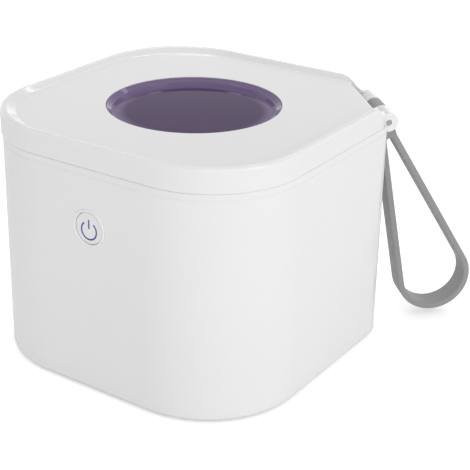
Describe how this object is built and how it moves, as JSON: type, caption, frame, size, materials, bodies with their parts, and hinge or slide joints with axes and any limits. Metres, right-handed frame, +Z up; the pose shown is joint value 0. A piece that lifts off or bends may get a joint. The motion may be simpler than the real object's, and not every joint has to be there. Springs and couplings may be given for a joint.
{
  "type": "uv sterilizer box",
  "caption": "Small square sterilizer box with a hinged lid, a round tinted window in the lid, a push button on one side and a carrying strap on the hinge.",
  "frame": {"origin": "middle of the base, on the surface that the box stands on", "axes": "+Z up; +Y towards the corner with the hinge and strap, -Y towards the corner where the lid opens; +X towards the side corner between the button's side and the right-hand side"},
  "size_m": [0.1056, 0.1363, 0.0714],
  "materials": {
    "base_shell": "fine satin white",
    "chamber_liner": "bright metallised inside",
    "bottom_cover": "fine satin white",
    "base_pad": "matt light grey",
    "base_screws": "zinc plated",
    "control_board": "green solder mask",
    "board_screws": "zinc plated",
    "battery_cell": "matt foil pouch",
    "charging_socket": "drawn sheet",
    "socket_tongue": "black",
    "button_ring": "bright white",
    "button_cap": "satin white",
    "power_symbol": "violet blue",
    "tact_switch": "black",
    "switch_plunger": "black",
    "switch_board": "green solder mask",
    "lid_sensor": "black",
    "lamp_window": "clear quartz",
    "lamp_holder": "white",
    "lamp_board": "white-masked aluminium",
    "uv_lamps": "yellow lamp face",
    "hinge_pin": "ground steel",
    "base_magnet": "nickel plated",
    "lid_magnet": "nickel plated",
    "sensor_magnet": "nickel plated",
    "lid_shell": "fine satin white",
    "window_lens": "violet tinted, polished",
    "lid_liner": "white",
    "lid_seal": "soft light grey",
    "wrist_strap": "matt grey",
    "lamp_lead": "red",
    "cell_lead": "black",
    "switch_lead": "white"
  },
  "bodies": {
    "base": {"base_shell": "base_shell", "chamber_liner": "chamber_liner", "bottom_cover": "bottom_cover", "base_pad": "base_pad", "base_screws": "base_screws", "control_board": "control_board", "board_screws": "board_screws", "battery_cell": "battery_cell", "charging_socket": "charging_socket", "socket_tongue": "socket_tongue", "button_ring": "button_ring", "tact_switch": "tact_switch", "switch_board": "switch_board", "lid_sensor": "lid_sensor", "lamp_window": "lamp_window", "lamp_holder": "lamp_holder", "lamp_board": "lamp_board", "uv_lamps": "uv_lamps", "hinge_pin": "hinge_pin", "base_magnet": "base_magnet", "lamp_lead": "lamp_lead", "cell_lead": "cell_lead", "switch_lead": "switch_lead"},
    "lid": {"lid_shell": "lid_shell", "window_lens": "window_lens", "lid_liner": "lid_liner", "lid_seal": "lid_seal", "lid_magnet": "lid_magnet", "sensor_magnet": "sensor_magnet"},
    "power_button": {"button_cap": "button_cap", "power_symbol": "power_symbol", "switch_plunger": "switch_plunger"},
    "strap": {"wrist_strap": "wrist_strap"}
  },
  "joints": [
    {"name": "lid_hinge", "type": "hinge", "parent": "base", "child": "lid", "pos_m": [0, 0.0525, 0.0654], "axis": [-1, 0, 0], "range_deg": [0, 100]},
    {"name": "strap_swing", "type": "hinge", "parent": "base", "child": "strap", "pos_m": [0, 0.0525, 0.0654], "axis": [1, 0, 0], "range_deg": [0, 69]},
    {"name": "power_button_press", "type": "slide", "parent": "base", "child": "power_button", "axis": [-0.7071, 0.7071, 0], "range_m": [0, 0.0005], "stiffness_N_per_m": 1500, "springref_m": -0.0003}
  ]
}
